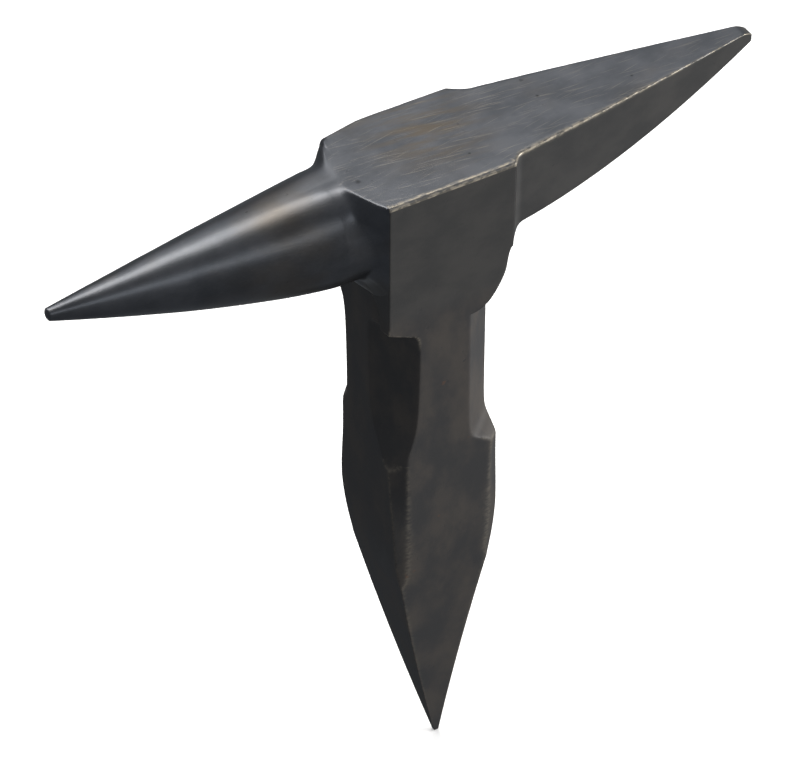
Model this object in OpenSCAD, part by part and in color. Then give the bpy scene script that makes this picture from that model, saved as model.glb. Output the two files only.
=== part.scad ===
// T-shaped bench stake for a smith, forged in one piece: a round horn and a square horn
// on either side of a flat table, a waisted neck, and a tapered spike for a stump.
// The horns lie along X and the spike points down. The origin is the seat: the middle
// of the section in which the neck ends and the spike begins.

/* [Table and head] */
// Length of the table, along the horns
head_l = 52; // [46:0.5:60]
// Width of the table, across the horns
head_w = 50; // [47:0.5:60]
// Depth of the head, from the table to where the neck has its full waist
head_h = 65; // [62:0.5:75]
// Worn bevel along the front and back edges of the table
edge_bevel = 1.2; // [0.6:0.1:2]

/* [Round horn] */
// Reach of the round horn beyond the head
round_reach = 120.5; // [90:0.5:160]
// Diameter of the horn where its flare ends
round_root_d = 42.8; // [34:0.2:44]
// Diameter of the blunt tip
round_tip_d = 5; // [3:0.2:10]
// Drop of the top line from the table to the tip
round_drop = 12; // [4:0.5:18]
// Fullness of the horn: 1 is a straight cone, more is a fuller belly
round_fullness = 1.24; // [1:0.02:1.6]
// Length of the flare that spreads the horn onto the head
flare_l = 14; // [8:0.5:20]
// Depth of the flare where it meets the head
flare_h = 48.5; // [45:0.5:54]

/* [Square horn] */
// Reach of the square horn beyond the head
square_reach = 116; // [90:0.5:160]
// Width of the horn at its root
square_root_w = 43; // [34:0.5:44]
// Depth of the horn at its root
square_root_h = 34; // [28:0.5:37]
// Width of the tip
square_tip_w = 4.4; // [3:0.2:10]
// Depth of the tip
square_tip_h = 3.2; // [2:0.2:6]
// Drop of the top at the very tip
square_tip_drop = 2.4; // [0.5:0.1:4]
// Fullness of the horn seen from above: 1 is a straight taper
square_fullness = 1.1; // [1:0.05:1.5]
// Fullness of the horn's underside: 1 is a straight taper
belly_fullness = 1.8; // [1:0.05:2.2]
// Length of the swept fillets at the root, on the horn's sides and underside
root_fillet_l = 7; // [4:0.5:14]
// Depth that the fillet adds to the underside at the head
root_fillet_h = 5; // [2:0.5:6]

/* [Neck] */
// Length of the neck, from the head down to the spike
neck_h = 66; // [50:1:90]
// Thickness of the neck along the horns, and of the spike both ways at the seat
shank_w = 47; // [42:0.5:48]
// Reach of the neck's front and back flats from the middle, towards the round horn
flat_round = 13.5; // [8:0.5:15]
// Reach of the neck's front and back flats from the middle, towards the square horn
flat_square = 8.5; // [6:0.5:15]
// Half width of the neck's flats under the horns
flat_end = 8; // [6:0.5:12]
// Rise of the notches' ceilings from the waist to the head's corners, under the round horn
ceiling_round = 5; // [3:0.5:12]
// The same rise under the square horn, where it rounds off the head's lower corners
ceiling_square = 27; // [20:0.5:28]
// Radius of the sweep by which the notches run out onto the spike's corners
sweep_r = 36; // [24:1:60]
// Half width of the shallow recess under the round horn
recess_w = 16.5; // [13:0.5:18]
// Corner radius of that recess
recess_r = 5; // [2:0.5:8]

/* [Spike] */
// Length of the spike
spike_h = 186; // [120:1:240]
// Thickness that the shank loses before the taper starts
shank_draft = 2; // [0:0.2:4]
// Depth below the seat where the shank's line meets the taper's line
taper_start = 52; // [30:1:80]
// Half length of the curve that blends the shank into the taper
blend_l = 17; // [5:1:25]
// Thickness at the point
point_w = 2; // [1:0.2:5]
// Width of the chamfers along the spike's corners, measured on each face
corner_chamfer = 5; // [3:0.5:7]
// Depth below the seat where the chamfers run out into sharp corners
chamfer_end = 70; // [40:1:90]
// Distance by which the forged point stands off the axis, towards the square horn
point_set = 9.5; // [0:0.5:12]

/* [Hidden] */
ground_steel = [0.36, 0.37, 0.39];
black_steel = [0.17, 0.17, 0.18];
table_z = neck_h + head_h;
head_x = head_l / 2;
shank_x = shank_w / 2;
// The least width of any edge, as worn
edge_wear = 0.2;
// How far cutters and blanks reach past what they shape
over = 1;
wide = 2 * max(head_l, head_w);
round_facets = 48;
horn_rings = 18;
flare_rings = 8;
tip_rings = 4;
spike_rings = 26;
arc_steps = 8;

function mix(a, b, t) = a + (b - a) * t;
function limit(v, low, high) = max(low, min(high, v));
function signed_pow(v, p) = sign(v) * pow(abs(v), p);

// Skin through rings of equal point counts, closed by a flat face at each end.
// Seen from the first ring towards the last, each ring's points run clockwise.
module loft(rings) {
    count = len(rings[0]);
    last = len(rings) - 1;
    sides = [
        for (r = [0 : last - 1])
            for (i = [0 : count - 1])
                let (j = (i + 1) % count, a = r * count, b = a + count)
                    each [[a + i, a + j, b + j], [a + i, b + j, b + i]]
    ];
    first_cap = [for (i = [count - 1 : -1 : 0]) i];
    last_cap = [for (i = [0 : count - 1]) last * count + i];
    polyhedron(points = [for (ring = rings) each ring], faces = concat([first_cap], sides, [last_cap]));
}

// Outline of the round horn at x. Roundness 1 is an ellipse, and less squares it off.
function round_ring(x, half_w, top, bottom, roundness) = [
    for (i = [0 : round_facets - 1])
        let (a = -360 * i / round_facets)
            [x,
             half_w * signed_pow(cos(a), roundness),
             (top + bottom) / 2 + (top - bottom) / 2 * signed_pow(sin(a), roundness)]
];

// The round horn at a share t of its length beyond the flare
round_len = round_reach - flare_l;
function round_r(t) = mix(round_root_d, round_tip_d, pow(t, round_fullness)) / 2;
function round_top(t) = -round_drop * t;
function round_section(t) =
    round_ring(-head_x - flare_l - round_len * t, round_r(t), round_top(t), round_top(t) - 2 * round_r(t), 1);

// The flare at a share u of its length from the head: it runs from the head's square
// face to the horn's round root, and the table runs out on it
function flare_section(u) =
    round_ring(-head_x - flare_l * u,
               mix(round_root_d, head_w, pow(1 - u, 6)) / 2,
               0,
               -mix(round_root_d, flare_h, pow(1 - u, 2)),
               limit(1.6 * u - 0.3, 0.1, 1));

// The tip's edge at an angle a of the quarter ellipse that rounds it over
tip_round_l = round_tip_d / 4;
function round_tip_section(a) =
    let (r = round_r(1) * (1 + cos(a)) / 2, middle = round_top(1) - round_r(1))
        round_ring(-head_x - round_reach - tip_round_l * sin(a), r, middle + r, middle - r, 1);

module round_horn() {
    color(ground_steel)
        translate([0, 0, table_z])
            loft(concat(
                [for (i = [0 : flare_rings - 1]) flare_section(i / flare_rings)],
                [for (i = [0 : horn_rings]) round_section(i / horn_rings)],
                [for (i = [1 : tip_rings]) round_tip_section(90 * i / tip_rings)]
            ));
}

// Rectangle across X with its corners cut off
function square_ring(x, half_w, top, bottom, cut) = [
    [x, half_w, top - cut],
    [x, half_w - cut, top],
    [x, cut - half_w, top],
    [x, -half_w, top - cut],
    [x, -half_w, bottom + cut],
    [x, cut - half_w, bottom],
    [x, half_w - cut, bottom],
    [x, half_w, bottom + cut]
];

// The square horn at a distance d beyond the head
tip_l = 6;
function root_fillet(d) = pow(limit(1 - d / root_fillet_l, 0, 1), 2);
function square_half(d) =
    mix(mix(square_root_w, square_tip_w, pow(d / square_reach, square_fullness)), head_w, root_fillet(d)) / 2;
function square_top(d) = -square_tip_drop * pow(limit((d - square_reach + tip_l) / tip_l, 0, 1), 2);
function square_bottom(d) =
    -mix(square_root_h, square_tip_h + square_tip_drop, pow(d / square_reach, belly_fullness))
    - root_fillet_h * root_fillet(d);
function square_section(d) =
    let (half = square_half(d))
        square_ring(head_x + d, half, square_top(d), square_bottom(d), min(edge_bevel, half / 3));

module square_horn() {
    color(ground_steel)
        translate([0, 0, table_z])
            loft(concat(
                [for (i = [0 : horn_rings]) square_section((square_reach - tip_l) * pow(i / horn_rings, 1.5))],
                [for (i = [1 : tip_rings]) square_section(square_reach - tip_l + tip_l * i / tip_rings)]
            ));
}

// Half width of the forging across Y at a height z: it draws in towards the seat
function side_half(z) = mix(shank_x, head_w / 2, z / table_z);

// Outline of the head's front, drawn in X and Z and carried across Y. Under the square
// horn the head's end curves in to the neck.
module front_outline() {
    curve_top = table_z + square_bottom(0);
    curve_h = min(13, curve_top - neck_h);
    rotate([90, 0, 0])
        linear_extrude(height = wide, center = true)
            polygon(concat(
                [[-head_x, table_z], [-head_x, neck_h], [shank_x, neck_h]],
                [for (i = [0 : arc_steps])
                    let (a = 90 * i / arc_steps)
                        [mix(shank_x, head_x, 1 - cos(a)), curve_top - curve_h * (1 - sin(a))]],
                [[head_x, table_z]]
            ));
}

// Outline of the forging's end, drawn in Y and Z and carried along X
module end_outline() {
    bevel_z = table_z - edge_bevel;
    rotate([90, 0, 90])
        linear_extrude(height = wide, center = true)
            polygon([
                [edge_bevel - head_w / 2, table_z],
                [-side_half(bevel_z), bevel_z],
                [-side_half(0), 0],
                [side_half(0), 0],
                [side_half(bevel_z), bevel_z],
                [head_w / 2 - edge_bevel, table_z]
            ]);
}

// One corner notch. Its flat runs from the neck's front flat, which reaches flat_x from
// the middle, to the flat under the horn, and s is the distance from the axis across it.
// Below, it sweeps out onto the spike's corner. Above, its ceiling rises to the head's
// corner, in a straight line or in a convex curve.
module corner_notch(flat_x, rise, convex) {
    flat_y = side_half(neck_h / 2);
    turn = atan2(shank_x - flat_x, flat_y - flat_end);
    flat_s = flat_x * cos(turn) + flat_y * sin(turn);
    corner_s = head_x * cos(turn) + head_w / 2 * sin(turn);
    spike_s = shank_x * cos(turn) + (shank_x - corner_chamfer) * sin(turn);
    sweep_a = acos(1 - (spike_s - flat_s) / sweep_r);
    rotate([90, 0, turn])
        linear_extrude(height = wide, center = true)
            polygon(concat(
                [[wide, neck_h + rise], [wide, 0]],
                [for (i = [arc_steps : -1 : 0])
                    let (a = sweep_a * i / arc_steps)
                        [flat_s + sweep_r * (1 - cos(a)), sweep_r * (sin(sweep_a) - sin(a))]],
                [for (i = [0 : arc_steps])
                    let (t = i / arc_steps)
                        [mix(flat_s, corner_s, convex ? sin(90 * t) : t),
                         neck_h + rise * (convex ? 1 - cos(90 * t) : t)]]
            ));
}

module corner_notches() {
    for (face = [0, 1])
        mirror([0, face, 0]) {
            corner_notch(flat_square, ceiling_square, true);
            mirror([1, 0, 0])
                corner_notch(flat_round, ceiling_round, false);
        }
}

// Shallow recess that leaves the flare's lip standing proud of the neck
module lip_recess() {
    depth = head_x - shank_x;
    recess_top = table_z - flare_h;
    corner_y = recess_w - recess_r;
    translate([-head_x - over, 0, 0])
        rotate([90, 0, 90])
            linear_extrude(height = depth + over) {
                translate([-recess_w, neck_h - over])
                    square([2 * recess_w, recess_top - recess_r - neck_h + over]);
                translate([-corner_y, neck_h - over])
                    square([2 * corner_y, recess_top - neck_h + over]);
                for (side = [-1, 1])
                    translate([side * corner_y, recess_top - recess_r])
                        circle(r = recess_r, $fn = 48);
            }
}

module head() {
    color(ground_steel)
        difference() {
            intersection() {
                front_outline();
                end_outline();
            }
            corner_notches();
            lip_recess();
        }
}

module neck() {
    color(black_steel)
        difference() {
            intersection() {
                linear_extrude(height = neck_h)
                    neck_section();
                end_outline();
            }
            corner_notches();
        }
}

// The neck's blank before it draws in: its corner cuts lie in the planes of the spike's
// chamfers at the seat
module neck_section() {
    x = shank_x;
    y = head_w / 2;
    cut = corner_chamfer + y - shank_x;
    polygon([[x, y - cut], [x - cut, y], [cut - x, y], [-x, y - cut],
             [-x, cut - y], [cut - x, -y], [x - cut, -y], [x, cut - y]]);
}

// Half thickness of the spike at a depth d. The shank's line and the taper's line are
// joined by a curve whose handle is their crossing.
knee_half = shank_x - shank_draft / 2;
function shank_half(d) = mix(shank_x, knee_half, d / taper_start);
function taper_half(d) = mix(knee_half, point_w / 2, (d - taper_start) / (spike_h - taper_start));
function blend_half(t) =
    mix(mix(shank_half(taper_start - blend_l), knee_half, t),
        mix(knee_half, taper_half(taper_start + blend_l), t), t);
function spike_half(d) =
    abs(d - taper_start) < blend_l ? blend_half((d - taper_start + blend_l) / (2 * blend_l))
    : d < taper_start ? shank_half(d)
    : taper_half(d);

// The chamfers narrow slowly at first, and the point leaves the axis ever faster
function spike_chamfer(d) =
    max(edge_wear, min(spike_half(d) / 2, corner_chamfer * pow(limit(1 - d / chamfer_end, 0, 1), 0.3)));
function spike_set(d) = point_set * pow(d / spike_h, 2);
function spike_section(d) =
    let (h = spike_half(d), c = spike_chamfer(d), x = spike_set(d))
        [[x + h, c - h, -d], [x + h - c, -h, -d], [x + c - h, -h, -d], [x - h, c - h, -d],
         [x - h, h - c, -d], [x + c - h, h, -d], [x + h - c, h, -d], [x + h, h - c, -d]];

module spike() {
    color(black_steel)
        loft([for (i = [0 : spike_rings]) spike_section(spike_h * i / spike_rings)]);
}

round_horn();
head();
square_horn();
neck();
spike();
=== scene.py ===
import bpy
import numpy as np
from mathutils import Matrix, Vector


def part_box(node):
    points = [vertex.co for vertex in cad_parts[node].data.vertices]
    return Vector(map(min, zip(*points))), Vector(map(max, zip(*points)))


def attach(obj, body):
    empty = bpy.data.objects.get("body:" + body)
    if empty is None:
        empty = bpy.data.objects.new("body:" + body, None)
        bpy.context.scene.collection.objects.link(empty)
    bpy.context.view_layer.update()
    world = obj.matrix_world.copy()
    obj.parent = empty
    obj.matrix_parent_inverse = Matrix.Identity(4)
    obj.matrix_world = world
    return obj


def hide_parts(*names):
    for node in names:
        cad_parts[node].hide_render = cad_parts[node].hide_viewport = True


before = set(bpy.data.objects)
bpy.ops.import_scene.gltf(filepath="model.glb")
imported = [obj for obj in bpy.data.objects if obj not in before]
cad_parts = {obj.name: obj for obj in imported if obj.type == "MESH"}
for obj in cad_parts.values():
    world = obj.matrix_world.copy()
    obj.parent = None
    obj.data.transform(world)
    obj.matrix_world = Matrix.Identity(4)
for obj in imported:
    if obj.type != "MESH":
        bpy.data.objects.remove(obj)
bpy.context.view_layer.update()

# Forged T-stake: round horn, head with its table, square horn, waisted neck, square spike.
# Shapes are worked out in millimetres, from the boxes of the frame's nodes and the
# dictionaries beside the code, and go into the meshes in metres. The horns lie along X,
# the origin is the seat where the neck ends and the spike begins. Left is the round
# horn's side, front is the side that the camera sees.

mm = 0.001


def boxMm(node):
    low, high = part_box(node)
    return np.array(low) / mm, np.array(high) / mm


headLow, headHigh = boxMm("head")
tableZ = headHigh[2]
neckTop = headLow[2]
headX = headHigh[0]
headY = boxMm("square_horn")[1][1]
shankHalf = boxMm("neck")[1][0]
spikeLength = -boxMm("spike")[0][2]
roundTipX = boxMm("round_horn")[0][0]
squareTipX = boxMm("square_horn")[1][0]
print("frame read: table at", round(tableZ, 1), "mm, spike", round(spikeLength, 1), "mm long")


def blend(a, b, t):
    return a + (b - a) * t


def smooth(low, high, v):
    # a soft step: cubic from 0 at low to 1 at high
    t = np.clip((v - low) / (high - low), 0, 1)
    return t * t * (3 - 2 * t)


def hinge(v, soft):
    # zero well below 0 and v well above it, with a hyperbola of the given width between
    return (v + np.sqrt(v * v + soft * soft)) / 2


def wobble(p, q, seed):
    # slow unevenness between -1 and 1: a sum of five sines along the two coordinates
    draw = np.random.default_rng(seed)
    total = 0 * p + 0 * q
    for step in range(5):
        a, b, shift = draw.uniform(-1, 1), draw.uniform(-1, 1), draw.uniform(0, 6.28)
        total = total + np.sin((a * p + b * q) * (1 + 0.6 * step) + shift) / (1 + 0.5 * step)
    return total / 3


def roundedMin(planes, power):
    # distance to the nearest of several flat faces along each ray, with their meeting
    # edges rounded: the power mean of cosine over distance. Also gives the share of a
    # second face at each point, which is 1 on an edge and 0 on a flat.
    terms = np.stack(np.broadcast_arrays(*[np.maximum(c, 0) / d for c, d in planes]))
    scale = terms.max(axis=0)
    terms = (terms / scale) ** power
    total = terms.sum(axis=0)
    shares = (terms / total) ** 2
    edge = np.clip(2 * (1 - shares.sum(axis=0)), 0, 1)
    return 1 / (scale * total ** (1 / power)), edge


def makePiece(name, rings, marks):
    # a skin of quads over rings of points, with a fan to a middle point at each end
    ringCount, around = rings.shape[:2]
    ends = [rings[:1].mean(axis=1), rings[-1:].mean(axis=1)]
    points = np.concatenate([rings.reshape(-1, 3)] + ends)
    row, col = np.meshgrid(np.arange(ringCount - 1), np.arange(around), indexing="ij")
    nextCol = (col + 1) % around
    corners = [row * around + col, row * around + nextCol,
               (row + 1) * around + nextCol, (row + 1) * around + col]
    quads = np.stack(corners, axis=-1).reshape(-1, 4)
    side = np.arange(around)
    nextSide = (side + 1) % around
    lastRow = (ringCount - 1) * around
    hubs = ringCount * around + np.zeros((2, around), int) + [[0], [1]]
    firstFan = np.stack([nextSide, side, hubs[0]], axis=-1)
    lastFan = np.stack([lastRow + side, lastRow + nextSide, hubs[1]], axis=-1)
    fans = np.concatenate([firstFan, lastFan])
    halves = np.concatenate([quads[:, [0, 1, 2]], quads[:, [0, 2, 3]], fans])
    tips = points[halves]
    volume = np.einsum("ij,ij->i", tips[:, 0], np.cross(tips[:, 1], tips[:, 2])).sum()
    if volume < 0:
        quads, fans = quads[:, ::-1], fans[:, ::-1]
    mesh = bpy.data.meshes.new(name)
    mesh.from_pydata((points * mm).tolist(), [], quads.tolist() + fans.tolist())
    mesh.polygons.foreach_set("use_smooth", np.ones(len(mesh.polygons), bool))
    mesh.set_sharp_from_angle(angle=np.radians(38))
    for mark, values in marks.items():
        flat = np.broadcast_to(values, (ringCount, around)).ravel()
        flat = np.concatenate([flat, [flat[0], flat[-1]]]).astype(np.float32)
        mesh.attributes.new(mark, "FLOAT", "POINT").data.foreach_set("value", flat)
    mesh.update()
    piece = bpy.data.objects.new(name, mesh)
    bpy.context.scene.collection.objects.link(piece)
    print(name, "has", len(mesh.polygons), "faces")
    return piece


# The body, from the table to the spike's point
bodySet = {
    "recessHalf": 16.5,       # half width of the recess under the flare
    "recessRadius": 6.3,      # its corner radius
    "recessTop": 50.0,        # depth of its upper edge, the flare's lip, below the table
    "underHorn": 39.0,        # depth at which the square horn leaves the head
    "endCurve": 13.0,         # height over which the head's end curves in to the neck
    "bevel": 1.2,             # worn bevel of the table's edges
    "bevelUneven": 0.25,      # how much its width varies, as a share of it
    "wornLean": 0.205,        # slant of the worn facet on the table's back edge
    "wornReach": 26.65,       # how far back it starts
    "chamferEnd": 70.0,       # depth at which the spike's chamfers run out
    "kneeDepth": 52.0,        # where the shank turns into the taper
    "kneeHalf": 22.5,         # half thickness there
    "kneeBlend": 17.0,        # half length of the blend
    "pointHalf": 1.0,         # half thickness at the point
    "pointSet": 9.5,          # how far the point stands off the axis
    "edgePower": 110.0,       # the higher, the crisper the edges
    "around": 640,
}

# The four corner notches and the spike's chamfers below them. flatX and flatEnd are the
# half widths left flat on the front or back and on the end, stepZ and stepSoft say where
# and how softly the notch sweeps out onto the spike, and chamferX and chamferEnd are the
# chamfer's widths on the same two faces.
notchSet = {
    "frontLeft": {"front": -1, "end": -1, "flatX": 12.9, "flatEnd": 4.0, "stepZ": 7.0,
                  "stepSoft": 12.0, "ledgeSoft": 1.5, "chamferX": 5.8, "chamferEnd": 4.8},
    "backLeft": {"front": 1, "end": -1, "flatX": 13.5, "flatEnd": 12.3, "stepZ": 9.0,
                 "stepSoft": 2.5, "ledgeSoft": 5.0, "chamferX": 7.0, "chamferEnd": 7.0},
    "frontRight": {"front": -1, "end": 1, "flatX": 8.8, "flatEnd": 10.2, "stepZ": 0.0,
                   "stepSoft": 3.0, "chamferX": 4.2, "chamferEnd": 3.6},
    "backRight": {"front": 1, "end": 1, "flatX": 8.8, "flatEnd": 9.4, "stepZ": 3.0,
                  "stepSoft": 6.0, "chamferX": 5.0, "chamferEnd": 5.0},
}
ledgeSet = {
    "leftZ": 64.3,            # height of the left notches' ledges
    "leftSlope": 1.9,         # how fast they run out, in mm for each mm up
    "rightRise": 27.0,        # height of the right notches' vaults under the square horn
    "vaultPower": 0.4,
    "runOut": 0.5,            # how fast every notch leaves the spike's corner below
}


def sideHalf(z):
    # half width across Y above the seat: a straight line from the seat to the table
    return blend(shankHalf, headY, np.clip(z, 0, tableZ) / tableZ)


def spikeHalf(depth):
    # two straight lines joined by a quadratic curve whose handle is their crossing
    s = bodySet
    taperLength = spikeLength - s["kneeDepth"]
    shank = blend(shankHalf, s["kneeHalf"], depth / s["kneeDepth"])
    taper = blend(s["kneeHalf"], s["pointHalf"], (depth - s["kneeDepth"]) / taperLength)
    start = blend(shankHalf, s["kneeHalf"], 1 - s["kneeBlend"] / s["kneeDepth"])
    stop = blend(s["kneeHalf"], s["pointHalf"], s["kneeBlend"] / taperLength)
    t = np.clip((depth - s["kneeDepth"] + s["kneeBlend"]) / (2 * s["kneeBlend"]), 0, 1)
    curve = blend(blend(start, s["kneeHalf"], t), blend(s["kneeHalf"], stop, t), t)
    return np.where(t <= 0, shank, np.where(t >= 1, taper, curve))


def notchPlane(z, n):
    # distance of one corner notch from the axis at each height, and its direction: an
    # even S curve out to the spike's corner below, a flat, and above it a ledge that
    # turns outwards on the left or a vault that rises as a power of the height
    ledge = ledgeSet
    flatY = sideHalf(neckTop / 2)
    turn = np.arctan2(shankHalf - n["flatX"], flatY - n["flatEnd"])
    flat = n["flatX"] * np.cos(turn) + flatY * np.sin(turn)
    seat = shankHalf * np.cos(turn) + (shankHalf - n["chamferEnd"]) * np.sin(turn)
    up = z - n["stepZ"]
    share = (1 - up / np.hypot(up, n["stepSoft"])) / 2
    reach = flat + (seat - flat) * share + ledge["runOut"] * np.maximum(-z - 2, 0)
    if n["end"] < 0:
        reach = reach + ledge["leftSlope"] * hinge(z - ledge["leftZ"], n["ledgeSoft"])
    else:
        corner = headX * np.cos(turn) + headY * np.sin(turn)
        rise = np.maximum((z - neckTop) / ledge["rightRise"], 0)
        vault = np.minimum(rise, 1) ** ledge["vaultPower"]
        reach = reach + (corner - flat) * vault + 16 * np.maximum(rise - 1, 0)
    return np.arctan2(n["front"] * np.sin(turn), n["end"] * np.cos(turn)), reach


def chamferPlane(z, half, n):
    # the flat through the two lines that the chamfer cuts on the spike's faces. Its end
    # side narrows first, and both run out together further down.
    depth = np.maximum(-z, 0)
    fade = np.maximum(1 - (depth / bodySet["chamferEnd"]) ** 4, 0.0001) ** 0.5
    wide = n["chamferX"] * fade
    narrow = n["chamferEnd"] * fade * blend(1, 0.4, smooth(0, 40, depth))
    turn = np.arctan2(n["front"] * wide, n["end"] * narrow)
    reach = (half * (wide + narrow) - wide * narrow) / np.hypot(wide, narrow)
    return turn, reach + np.maximum(z - 15, 0)


def bodyRings(z, angles):
    # each point lies on a ray from the axis, at the rounded nearest of the flat faces
    s = bodySet
    z, angles = z[:, None], angles[None, :]
    depth = np.maximum(-z, 0)
    below = z < 0
    along = np.where(below, spikeHalf(depth), shankHalf)
    across = np.where(below, spikeHalf(depth), sideHalf(z))
    # worn bevel along the table's front and back edges: a quarter ellipse, wider and
    # narrower along the edge
    lift = np.clip((z - tableZ + s["bevel"]) / s["bevel"], 0, 1)
    xThere = headY / np.maximum(np.abs(np.tan(angles)), 0.5) * np.sign(np.cos(angles))
    wear = 1 + s["bevelUneven"] * wobble(xThere * 0.35, 0 * z, 4)
    worn = across - s["bevel"] * (1 - np.sqrt(1 - lift ** 2)) * wear
    # right end: under the square horn it curves in to the neck
    q = np.clip((z - tableZ + s["underHorn"] + s["endCurve"]) / s["endCurve"], 0, 1)
    right = np.where(below, along, blend(shankHalf, headX, 1 - np.sqrt(1 - q ** 2)))
    # left end: the recess with round upper corners
    yThere = np.abs(blend(shankHalf, headX, 0.5) * np.tan(angles))
    overSide = np.maximum(yThere - s["recessHalf"] + s["recessRadius"], 0)
    overTop = np.maximum(z - tableZ + s["recessTop"] + s["recessRadius"], 0)
    opening = smooth(0.25, -0.25, np.hypot(overSide, overTop) - s["recessRadius"])
    left = np.where(z > neckTop, blend(headX, shankHalf, opening), along)
    planes = [(np.cos(angles), right), (-np.cos(angles), left),
              (np.sin(angles), worn), (-np.sin(angles), worn),
              (np.sin(angles) - s["wornLean"] * np.cos(angles), s["wornReach"] + tableZ - z)]
    for n in notchSet.values():
        turn, reach = notchPlane(z, n)
        planes.append((np.cos(angles - turn), reach))
        turn, reach = chamferPlane(z, along, n)
        planes.append((np.cos(angles - turn), reach))
    reach, edge = roundedMin(planes, s["edgePower"])
    middle = s["pointSet"] * (depth / spikeLength) ** 2
    x, y = middle + reach * np.cos(angles), reach * np.sin(angles)
    return np.stack(np.broadcast_arrays(x, y, z), axis=-1), edge


def bodyAngles(count):
    # directions of points spread evenly along the head's rectangle
    cornerX = np.array([1, 1, -1, -1, 1, 1]) * headX
    cornerY = np.array([0, 1, 1, -1, -1, 0]) * headY
    run = np.concatenate([[0], np.cumsum(np.hypot(np.diff(cornerX), np.diff(cornerY)))])
    at = np.arange(count) / count * run[-1]
    return np.arctan2(np.interp(at, run, cornerY), np.interp(at, run, cornerX))


# how bare the worn edges are, from 0 for scale to 1 for bright metal. The ledge, recess rim and flare
# lip values are painted highlights on those edges, not wear.
wearAndHighlightSet = {
    "ledge": 0.7,
    "bevelMiddle": 0.5,
    "recessRimHighlight": 0.35,
    "flareLipHighlight": 0.3,
    "spikeEdges": 0.15,
    "headSides": 0.22,        # how far the head's sides are dressed
}


def ledgePaintedHighlight(rings, edge):
    # the front left notch's ledge and the top of its inner edge are painted bright: a painted highlight
    # for the light that the upward-facing ledge catches
    x, y, z = np.moveaxis(rings, -1, 0)
    height = smooth(neckTop - 10, neckTop, z) * smooth(neckTop + 8, neckTop + 4, z)
    return wearAndHighlightSet["ledge"] * edge * height * smooth(-11, -12.5, x) * smooth(-20, -22, y)


def makeHead(angles):
    s = bodySet
    low = neckTop + (ledgeSet["rightRise"] + 1) * np.linspace(0, 1, 84) ** 2
    high = np.linspace(low[-1], tableZ - 5, 16)[1:]
    facet = np.linspace(tableZ - 5, tableZ - s["bevel"], 10)[1:]
    bevel = tableZ - s["bevel"] * (1 - np.sin(np.linspace(0, np.pi / 2, 9)[1:]))
    rings, edge = bodyRings(np.concatenate([low, high, facet, bevel]), angles)
    # the table: the last ring drawn in to the middle
    shrink = (1 - np.linspace(0, 1, 14)[1:-1] ** 1.2)[:, None, None]
    table = rings[-1:] * np.concatenate([shrink, shrink, 1 + 0 * shrink], axis=-1)
    fromTop = tableZ - rings[..., 2]
    front = smooth(headY - 3, headY - 1.6, -rings[..., 1])
    # the bevel is worn bare along its two edges and half bare between them
    lowerEdge = smooth(0.45, 0, np.abs(fromTop - s["bevel"]))
    upperEdge = smooth(0.12, 0, fromTop)
    between = wearAndHighlightSet["bevelMiddle"] * smooth(s["bevel"] + 0.2, s["bevel"] - 0.1, fromTop)
    wear = np.maximum(np.maximum(lowerEdge, upperEdge), between) * front
    # the front left ledge's painted highlight
    wear = np.maximum(wear, ledgePaintedHighlight(rings, edge))
    # the recess's rim gets a faint painted highlight: a light line standing for the light on the arch's
    # rounded edge
    overSide = np.maximum(np.abs(rings[..., 1]) - s["recessHalf"] + s["recessRadius"], 0)
    overTop = np.maximum(s["recessTop"] + s["recessRadius"] - fromTop, 0)
    fromRim = np.hypot(overSide, overTop) - s["recessRadius"]
    onEnd = smooth(1 - headX, 0.3 - headX, rings[..., 0]) * smooth(3, 9, rings[..., 2] - neckTop)
    rimPaintedHighlight = wearAndHighlightSet["recessRimHighlight"] * smooth(0.9, 0.2, np.abs(fromRim)) * onEnd
    wear = np.maximum(wear, rimPaintedHighlight)
    sides = wearAndHighlightSet["headSides"] * smooth(neckTop, neckTop + 20, rings[..., 2])
    dressed = np.maximum(sides, smooth(1.0, 0.1, fromTop))
    bare = np.zeros((len(table), len(angles)))
    marks = {"edge": np.concatenate([wear, bare]), "dressed": np.concatenate([dressed, bare + 1])}
    return makePiece("headBlock", np.concatenate([rings, table]), marks)


def makeNeck(angles):
    z = np.concatenate([np.linspace(0, 26, 70)[:-1], np.linspace(26, neckTop, 40)])
    rings, edge = bodyRings(z, angles)
    # the neck's only bright mark is the ledge's painted highlight
    return makePiece("waistedNeck", rings, {"edge": ledgePaintedHighlight(rings, edge), "dressed": 0 * edge})


def makeSpike(angles):
    depth = np.concatenate([np.linspace(0, 72, 90)[:-1], np.linspace(72, spikeLength, 60)])
    rings, edge = bodyRings(-depth, angles)
    return makePiece("taperedSpike", rings, {"edge": wearAndHighlightSet["spikeEdges"] * edge, "dressed": 0 * edge})


# The round horn and its flare
roundSet = {
    "flare": 14.0,          # length of the flare
    "flareRadius": 33.4,    # radius of the flare where it meets the head
    "cornerRadius": 30.2,   # its radius towards the head's lower corners
    "cornerMelt": 1.8,      # how much sooner it runs out there
    "lipWidth": 1.5,        # how far its lower edge lies outside the recess
    "chin": 3.4,            # extra width of the lip at its middle
    "flareSlope": 1.55,     # its steepness
    "flareSoft": 2.0,       # softness of its run-out into the horn
    "lipPower": 14.0,       # the lower, the rounder the flare's lip
    "frontPower": 70.0,     # the same for the line where the table cuts the flare in front
    "backPower": 22.0,      # and behind, where it is worn round
    "rootRadius": 21.4,
    "tipRadius": 2.5,
    "drop": 12.0,           # fall of the top line
    "fullness": 1.24,
    "ripple": 0.07,         # unevenness left by hammer and grinder
    "around": 320,
}


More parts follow.
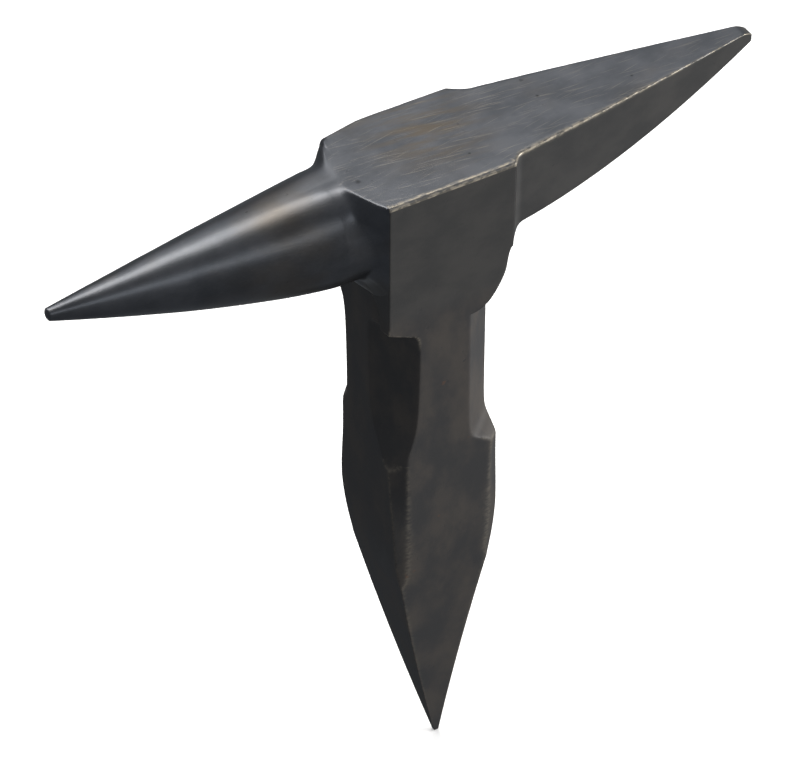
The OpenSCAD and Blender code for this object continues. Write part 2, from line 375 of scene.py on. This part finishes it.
def lipLimit(a):
    # distance along each ray to the recess under the flare: its straight upper edge, and
    # past its end the circle that rounds its corner. The first value fades out beyond
    # the ray that only touches the circle.
    s = bodySet
    top = s["recessTop"] - roundSet["rootRadius"]
    middleY = s["recessHalf"] - s["recessRadius"]
    middleZ = top + s["recessRadius"]
    touch = np.arctan2(middleY, middleZ)
    touch = touch + np.arcsin(s["recessRadius"] / np.hypot(middleY, middleZ))
    fromDown = np.abs(a - 1.5 * np.pi)
    turn = np.minimum(fromDown, touch)
    straight = top / np.cos(turn)
    toMiddle = middleY * np.sin(turn) + middleZ * np.cos(turn)
    miss = middleY * np.cos(turn) - middleZ * np.sin(turn)
    circle = toMiddle - np.sqrt(np.maximum(s["recessRadius"] ** 2 - miss ** 2, 0))
    limit = np.where(top * np.tan(turn) < middleY, straight, circle)
    return np.clip(1 - (fromDown - touch) / 0.15, 0, 1), limit


def cornerShare(a):
    # 1 towards the head's lower corners, 0 straight down and above the horn's axis
    fromDown = np.abs(a - 1.5 * np.pi)
    return smooth(0.25, 0.5, fromDown) * smooth(1.3, 0.8, fromDown)


def flareExtra(away, a):
    # how far the flare stands out from the horn: a cone that starts round within the
    # head's outline, is kept close to the recess below, and runs out along a hyperbola.
    # Towards the head's lower corners it is narrower and melts into the end face.
    s = roundSet
    lean = (headY - shankHalf) / tableZ
    side = sideHalf(tableZ - s["rootRadius"])
    over, limit = lipLimit(a)
    rim = limit + s["lipWidth"] + s["chin"] * smooth(0.24, 0, np.abs(a - 1.5 * np.pi))
    corner = cornerShare(a)
    radius = blend(s["flareRadius"], s["cornerRadius"], corner)
    outline, _ = roundedMin([(np.abs(np.cos(a)) - lean * np.sin(a), side), (over, rim),
                             (1 + 0 * a, radius)], 40)
    extra = outline - s["rootRadius"]
    length = extra / s["flareSlope"]
    fall = hinge(length - away, s["flareSoft"]) / hinge(length, s["flareSoft"])
    return extra * fall ** blend(1, s["cornerMelt"], corner) * smooth(60, 20, away)


def makeRoundHorn():
    # rings across X around the horn's own axis. The radius falls as a power of the
    # distance, with a quarter ellipse at the tip, and the flare is added to it. The table
    # and the worn facet on the back cut the flare, and the recess cuts its lip.
    s = roundSet
    a = (np.arange(s["around"]) / s["around"] * 2 * np.pi)[None, :]
    tipRound = s["tipRadius"] / 2
    hornLength = -roundTipX - tipRound - headX - s["flare"]
    t = np.linspace(0, 1, 150)[:, None]
    tipAngle = (np.linspace(0, np.pi / 2, 10)[1:])[:, None]
    tipShare = 0.04 + 0.96 * np.cos(tipAngle)
    flareAway = s["flare"] * (np.linspace(0, 1, 80)[:-1] ** 1.2)[:, None]
    away = np.concatenate([flareAway, s["flare"] + hornLength * t,
                           s["flare"] + hornLength + tipRound * np.sin(tipAngle)])
    along = np.clip((away - s["flare"]) / hornLength, 0, 1)
    plain = blend(s["rootRadius"], s["tipRadius"], along ** s["fullness"])
    middle = -s["drop"] * along - plain
    radius = plain.copy()
    radius[-len(tipAngle):] *= tipShare
    flare = radius + flareExtra(away, a)
    lip, lipEdge = roundedMin([(1 + 0 * a, flare), lipLimit(a)], s["lipPower"])
    facet = bodySet["wornReach"] + s["rootRadius"] - bodySet["wornLean"] * headX
    facet = facet - np.minimum(away, s["flare"]) / 2
    atBack = smooth(-0.5, 0.0, np.cos(a)) * smooth(0, 3, away)
    power = blend(s["frontPower"], s["backPower"], atBack)
    reach, _ = roundedMin([(1 + 0 * a, lip), (np.sin(a), -middle),
                           (np.cos(a) + np.sin(a), facet)], power)
    tipAway = -roundTipX - headX
    free = smooth(2, s["flare"] + 8, away) * smooth(tipAway, tipAway - 8, away)
    reach = reach + s["ripple"] * free * wobble(away * 0.16, a * 3, 11) * np.minimum(plain / 12, 1)
    y = reach * np.cos(a)
    z = np.minimum(middle + reach * np.sin(a), 0)
    rings = np.stack(np.broadcast_arrays(-headX - away, y, tableZ + z), axis=-1)
    # the flare's lower corners keep the scale of the end face that they melt into
    dressed = blend(0.9, 1, smooth(-0.3, -0.02, z)) * (1 - 0.75 * cornerShare(a) * smooth(6, 1, away))
    # painted highlight: a light line along the flare's lower lip, standing for the light on its rounded
    # edge
    lipPaintedHighlight = wearAndHighlightSet["flareLipHighlight"] * lipEdge * smooth(5, 2, away)
    return makePiece("roundHorn", rings, {"edge": lipPaintedHighlight, "dressed": dressed})


# The square horn
squareSet = {
    "rootHalf": 21.5,
    "tipHalf": 2.2,
    "rootDepth": 34.0,
    "tipDepth": 5.6,
    "tipDrop": 2.4,
    "tipLength": 6.0,
    "fullness": 1.1,
    "belly": 1.8,
    "frontFillet": 5.0,     # lengths of the root's swept fillets
    "backFillet": 8.0,
    "underFillet": 7.0,
    "rootStep": 0.25,       # how far the root stays behind the head's sides
    "lowChamfer": 1.0,
    "edgePower": 42.0,
    "ripple": 0.06,
    "around": 288,
}


def makeSquareHorn():
    # rings across X: the rounded nearest of top, sides, underside and two low chamfers
    # along rays from the section's middle
    s = squareSet
    reachX = squareTipX - headX
    a = (np.arange(s["around"]) / s["around"] * 2 * np.pi)[None, :]
    d = np.concatenate([(reachX - s["tipLength"]) * np.linspace(0, 1, 110) ** 1.5,
                        reachX - s["tipLength"] * (1 - np.linspace(0, 1, 16)[1:])])[:, None]
    share = d / reachX
    plain = blend(s["rootHalf"], s["tipHalf"], share ** s["fullness"])
    top = -s["tipDrop"] * np.clip((d - reachX + s["tipLength"]) / s["tipLength"], 0, 1) ** 2
    low = -blend(s["rootDepth"], s["tipDepth"], share ** s["belly"])
    extraDepth = bodySet["underHorn"] - s["rootDepth"]
    low = low - extraDepth * np.clip(1 - d / s["underFillet"], 0, 1) ** 2
    # the end face is rounded over its last millimetre
    endShare = np.sqrt(np.clip(1 - np.clip(d - reachX + 1, 0, 1) ** 2, 0.04, 1))
    middle, rise = (top + low) / 2, (top - low) / 2 * endShare
    # at the root the sides stand as far out as the head's and lean as they do
    frontShare = np.clip(1 - d / s["frontFillet"], 0, 1) ** 2
    backShare = np.clip(1 - d / s["backFillet"], 0, 1) ** 2
    headSide = sideHalf(tableZ + middle) - s["rootStep"]
    front = blend(plain, headSide, frontShare) * endShare
    back = blend(plain, headSide, backShare) * endShare
    lean = (headY - shankHalf) / tableZ * np.sin(a)
    lowCut = np.minimum(s["lowChamfer"], front / 2)
    planes = [(np.sin(a) + 0 * d, rise), (-np.sin(a) + 0 * d, rise),
              (np.cos(a) - lean * backShare, back), (-np.cos(a) - lean * frontShare, front),
              (np.cos(a + np.pi / 4), (back + rise - lowCut) / np.sqrt(2)),
              (np.cos(a - np.pi * 5 / 4), (front + rise - lowCut) / np.sqrt(2))]
    reach, edge = roundedMin(planes, s["edgePower"])
    free = smooth(2, 12, d) * smooth(reachX, reachX - 8, d)
    reach = reach + s["ripple"] * free * wobble(d * 0.12, a * 3, 23) * np.minimum(rise / 8, 1)
    y, z = reach * np.cos(a), np.minimum(middle + reach * np.sin(a), 0)
    rings = np.stack(np.broadcast_arrays(headX + d, y, tableZ + z), axis=-1)
    frontTop = smooth(0, 0.3, np.sin(a)) * smooth(0, 0.3, -np.cos(a))
    dressed = blend(0.3, 1, smooth(-0.6, -0.05, z)) + 0 * reach
    return makePiece("squareHorn", rings, {"edge": edge * frontTop, "dressed": dressed})


# Materials
class Wire:
    # one socket of a node tree: arithmetic on it adds Math nodes
    def __init__(self, graph, socket):
        self.graph = graph
        self.socket = socket

    def maths(self, operation, *values):
        return self.graph.node("ShaderNodeMath", {"operation": operation}, dict(enumerate(values)))

    def __add__(self, other):
        return self.maths("ADD", self, other)

    def __radd__(self, other):
        return self.maths("ADD", other, self)

    def __sub__(self, other):
        return self.maths("SUBTRACT", self, other)

    def __rsub__(self, other):
        return self.maths("SUBTRACT", other, self)

    def __mul__(self, other):
        return self.maths("MULTIPLY", self, other)

    def __rmul__(self, other):
        return self.maths("MULTIPLY", other, self)

    def __pow__(self, other):
        return self.maths("POWER", self, other)


class Graph:
    def __init__(self, name):
        self.material = bpy.data.materials.new(name)
        self.material.use_nodes = True
        self.tree = self.material.node_tree
        self.tree.nodes.clear()

    def node(self, kind, settings, inputs, output=0):
        made = self.tree.nodes.new(kind)
        for key, value in settings.items():
            setattr(made, key, value)
        for key, value in inputs.items():
            if isinstance(value, Wire):
                self.tree.links.new(value.socket, made.inputs[key])
            elif isinstance(value, tuple) and made.inputs[key].type == "RGBA":
                made.inputs[key].default_value = (*value, 1)
            else:
                made.inputs[key].default_value = value
        return Wire(self, made.outputs[output])

    def finish(self, inputs):
        # the shader with its inputs, linked to the output
        shader = self.node("ShaderNodeBsdfPrincipled", {}, inputs)
        out = self.tree.nodes.new("ShaderNodeOutputMaterial")
        self.tree.links.new(shader.socket, out.inputs[0])
        return self.material

    def place(self):
        return self.node("ShaderNodeTexCoord", {}, {}, 3)

    def mark(self, name):
        return self.node("ShaderNodeAttribute", {"attribute_name": name}, {}, 2)

    def turned(self, place, degrees):
        # the same place turned about Z
        angle = (0.0, 0.0, np.radians(degrees))
        return self.node("ShaderNodeVectorRotate", {"rotation_type": "EULER_XYZ"},
                         {"Vector": place, "Rotation": angle})

    def noise(self, place, stretch, detail=4.0, rough=0.55):
        # noise with features of about 1 / stretch metres along each axis
        scaled = self.node("ShaderNodeVectorMath", {"operation": "MULTIPLY"}, {0: place, 1: stretch})
        return self.node("ShaderNodeTexNoise", {},
                         {"Vector": scaled, "Scale": 1.0, "Detail": detail, "Roughness": rough})

    def step(self, value, low, high):
        # soft step of a value from 0 at low to 1 at high
        return self.node("ShaderNodeMapRange", {"interpolation_type": "SMOOTHSTEP"},
                         {"Value": value, "From Min": low, "From Max": high})

    def tint(self, share, first, second):
        return self.node("ShaderNodeMix", {"data_type": "RGBA"}, {0: share, 6: first, 7: second}, 2)

    def near(self, place, spot, soft):
        # 1 at a spot in millimetres, 0 from the given distance on
        away = self.node("ShaderNodeVectorMath", {"operation": "DISTANCE"},
                         {0: place, 1: tuple(mm * v for v in spot)}, 1)
        return self.step(away, soft * mm, 0.0)


steelSet = {
    "scaleDark": (0.028, 0.028, 0.029),
    "scaleBrown": (0.043, 0.039, 0.036),
    "dressedDark": (0.070, 0.074, 0.082),
    "dressedLight": (0.098, 0.102, 0.112),
    "oilBrown": (0.095, 0.078, 0.058),
    "plainDark": (0.034, 0.034, 0.034),
    "plainLight": (0.042, 0.041, 0.040),
    "bare": (0.27, 0.24, 0.19),
    "rust": (0.10, 0.045, 0.025),
    "wornPatch": (7, 7, 131),
    "wornPatchReach": 34,
    "pits": [((-28, -6, 131), 1.6), ((14, -12, 131), 0.9), ((52, 4, 131), 1.1), ((88, -3, 131), 0.9)],
}


def scaleFinish(g, place):
    # colour, roughness and height of forge scale: dark and dull, brownish in patches,
    # with pits and a few rust spots
    s = steelSet
    mottle = g.noise(place, (60, 60, 34), 5.0, 0.62)
    grain = g.noise(place, (700, 700, 700), 4.0, 0.65)
    pits = g.step(g.noise(place, (260, 260, 260), 2.0, 0.5), 0.68, 0.76)
    rust = g.step(g.noise(place, (110, 110, 110), 3.0, 0.6), 0.70, 0.80) * 0.5
    colour = g.tint(g.step(mottle, 0.36, 0.66), s["scaleDark"], s["scaleBrown"])
    colour = g.tint(rust, colour, s["rust"])
    colour = g.tint(pits * 0.7, colour, s["scaleDark"])
    return colour, 0.44 + 0.2 * mottle, 0.35 * grain + mottle - 0.6 * pits


def wearAndHighlightFinish(g, place, colour):
    # bare speckled metal on the worn edges, and painted highlights on the flare's lip, the recess's rim
    # and the front left ledge, which share the edge mark; gives the colour and the share painted bare
    # at each place
    speckle = g.step(g.noise(place, (420, 900, 900), 3.0, 0.6), 0.40, 0.60)
    worn = g.mark("edge") * (0.25 + 0.75 * speckle)
    return g.tint(worn, colour, steelSet["bare"]), worn


def bumpFinish(g, height):
    return g.node("ShaderNodeBump", {}, {"Strength": 0.22, "Distance": 0.0003, "Height": height})


def blackSteel():
    g = Graph("blackSteel")
    place = g.place()
    colour, rough, height = scaleFinish(g, place)
    colour, _ = wearAndHighlightFinish(g, place, colour)
    return g.finish({"Base Color": colour, "Metallic": 0.0, "Roughness": rough,
                     "Normal": bumpFinish(g, height), "Specular IOR Level": 0.12})


def dressedSteel():
    # ground and handled steel: a dark semi-satin metal on the table and the horns, with
    # fine hairline scratches near the horns' direction on top, an oil-brown worn patch
    # and small pits. The head's sides keep most of the forge scale.
    s = steelSet
    g = Graph("dressedSteel")
    place = g.place()
    dressed = g.mark("dressed")
    onTop = g.step(dressed, 0.86, 1.0)
    scale, scaleRough, scaleHeight = scaleFinish(g, place)
    mottle = g.noise(place, (55, 75, 75), 5.0, 0.6)
    patches = g.noise(place, (24, 32, 32), 3.0, 0.5)
    grain = g.noise(place, (800, 800, 800), 4.0, 0.65)
    scratches = 0.0
    for degrees, stretch in ((9, 1500), (-11, 1900), (3, 2400)):
        hair = g.noise(g.turned(place, degrees), (60, stretch, stretch), 1.0, 0.4)
        scratches = g.step(hair, 0.66, 0.76) + scratches
    scratches = scratches * onTop
    colour = g.tint(g.step(mottle, 0.32, 0.70), s["dressedDark"], s["dressedLight"])
    film = g.step(patches, 0.50, 0.74) * 0.5
    colour = g.tint(film, colour, s["oilBrown"])
    smear = g.step(g.noise(g.turned(place, 6), (40, 330, 330), 4.0, 0.6), 0.36, 0.64)
    patch = g.near(place, s["wornPatch"], s["wornPatchReach"]) * smear
    colour = g.tint(patch * 0.8, colour, s["oilBrown"])
    plain = g.tint(g.step(mottle, 0.36, 0.66), s["plainDark"], s["plainLight"])
    side = g.tint(g.step(dressed, 0.0, 0.22), scale, plain)
    colour = g.tint(g.step(dressed, 0.22, 0.9), side, colour)
    colour = g.tint(scratches * 0.22, colour, s["bare"])
    pits = g.step(g.noise(place, (300, 300, 300), 2.0, 0.5), 0.72, 0.78) * 0.6
    for spot, soft in s["pits"]:
        pits = pits.maths("MAXIMUM", pits, g.near(place, spot, soft))
    colour = g.tint(pits * 0.8, colour, s["scaleDark"])
    colour, worn = wearAndHighlightFinish(g, place, colour)
    metal = g.step(dressed, 0.0, 0.9) * 0.94
    rough = 0.35 + 0.10 * (mottle - 0.5) + 0.08 * (grain - 0.5) + 0.10 * patch
    rough = scaleRough + (rough - scaleRough) * g.step(dressed, 0.0, 0.6)
    height = 0.25 * grain + 0.6 * mottle - 0.3 * scratches - 0.6 * pits
    height = scaleHeight + (height - scaleHeight) * g.step(dressed, 0.0, 0.6)
    return g.finish({"Base Color": colour, "Metallic": metal - 0.5 * worn * metal,
                     "Roughness": rough, "Normal": bumpFinish(g, height),
                     "Specular IOR Level": 0.12})


angles = bodyAngles(bodySet["around"])
dressedMetal = dressedSteel()
blackMetal = blackSteel()
pieces = [
    (makeRoundHorn(), "round_horn", "ground_steel", dressedMetal),
    (makeHead(angles), "head", "ground_steel", dressedMetal),
    (makeSquareHorn(), "square_horn", "ground_steel", dressedMetal),
    (makeNeck(angles), "neck", "black_steel", blackMetal),
    (makeSpike(angles), "spike", "black_steel", blackMetal),
]
for piece, node, slot, material in pieces:
    piece.data.materials.append(material)
    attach(piece, "root")
    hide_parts(node)
print("pieces made and dressed")

# Floor, light and camera
studioSet = {
    "floorColour": (0.90, 0.90, 0.90),
    "floorHalf": 4.0,
    "floorGap": 0.3,        # millimetres between the spike's point and the floor
    "worldColour": (0.86, 0.92, 1.0),
    "worldStrength": 0.20,
    "azimuth": -29.78,
    "elevation": 43.18,
    "distance": 1.25,
    "aim": (-0.0351, -0.0471, 0.0692),
    "lens": 158.8,
    "sensorWidth": 36,
    "clipStart": 0.05,
    "lightAim": (0, 0, 0.08),
}

# place, size and watts of each soft box, all aimed at the head. The last value says
# whether the steel mirrors it.
lightSet = {
    "floorBox": ((0.10, 0.10, 2.20), (1.4, 1.4), 30, (1.0, 1.0, 1.0), False),
    "overheadBox": ((0.20, 0.70, 1.86), (0.9, 0.8), 19, (1.0, 0.97, 0.92), True),
    "tableBox": ((0.72, 1.26, 1.36), (1.5, 1.5), 5.8, (0.96, 0.98, 1.0), True),
    "flareBox": ((-0.50, 1.26, 1.40), (0.8, 0.8), 14, (1.0, 0.98, 0.96), True),
    "frontBox": ((0.10, -1.52, 1.30), (0.8, 0.5), 3.2, (0.94, 0.97, 1.0), True),
    "fillBox": ((-0.70, -1.55, 0.10), (1.6, 1.2), 12, (1.0, 1.0, 1.0), False),
    "sideBox": ((1.80, -0.85, 0.35), (1.0, 1.2), 92, (1.0, 0.98, 0.95), True),
}


def makeFloor():
    # seen by the camera alone, so that the dark faces don't mirror its white
    half = studioSet["floorHalf"]
    z = (-spikeLength - studioSet["floorGap"]) * mm
    mesh = bpy.data.meshes.new("floor")
    corners = [(-half, -half, z), (half, -half, z), (half, half, z), (-half, half, z)]
    mesh.from_pydata(corners, [], [(0, 1, 2, 3)])
    floor = bpy.data.objects.new("floor", mesh)
    floor.visible_glossy = False
    floor.visible_diffuse = False
    bpy.context.scene.collection.objects.link(floor)
    g = Graph("paleFloor")
    speck = g.noise(g.place(), (6, 6, 6), 3.0, 0.5)
    shade = tuple(0.98 * c for c in studioSet["floorColour"])
    colour = g.tint(speck, shade, studioSet["floorColour"])
    floor.data.materials.append(g.finish({"Base Color": colour, "Roughness": 0.9}))


def lookFrom(place, aim):
    # a turn that points -Z from place to aim with +Y up
    back = np.array(place) - np.array(aim)
    back = back / np.linalg.norm(back)
    right = np.cross((0, 0, 1), back)
    right = right / np.linalg.norm(right)
    up = np.cross(back, right)
    turn = Matrix(np.stack([right, up, back], axis=1).tolist()).to_4x4()
    turn.translation = place
    return turn


def makeLight(name, place, size, watts, colour, mirrored):
    light = bpy.data.lights.new(name, "AREA")
    light.shape = "RECTANGLE"
    light.size, light.size_y = size
    light.energy = watts
    light.color = colour
    lamp = bpy.data.objects.new(name, light)
    lamp.matrix_world = lookFrom(place, studioSet["lightAim"])
    lamp.visible_glossy = mirrored
    bpy.context.scene.collection.objects.link(lamp)


def makeCamera():
    s = studioSet
    turn, tilt = np.radians(s["azimuth"]), np.radians(s["elevation"])
    back = np.array([np.sin(turn) * np.cos(tilt), -np.cos(turn) * np.cos(tilt), np.sin(tilt)])
    place = np.array(s["aim"]) + s["distance"] * back
    camera = bpy.data.cameras.new("camera")
    camera.lens = s["lens"]
    camera.sensor_width = s["sensorWidth"]
    camera.clip_start = s["clipStart"]
    eye = bpy.data.objects.new("camera", camera)
    eye.matrix_world = lookFrom(place.tolist(), s["aim"])
    bpy.context.scene.collection.objects.link(eye)
    bpy.context.scene.camera = eye


def makeWorld():
    world = bpy.data.worlds.new("studio")
    world.use_nodes = True
    sky = world.node_tree.nodes["Background"]
    sky.inputs[0].default_value = (*studioSet["worldColour"], 1)
    sky.inputs[1].default_value = studioSet["worldStrength"]
    bpy.context.scene.world = world


makeFloor()
for name, (place, size, watts, colour, mirrored) in lightSet.items():
    makeLight(name, place, size, watts, colour, mirrored)
makeWorld()
makeCamera()
bpy.context.scene.view_settings.view_transform = "Standard"
print("studio set")
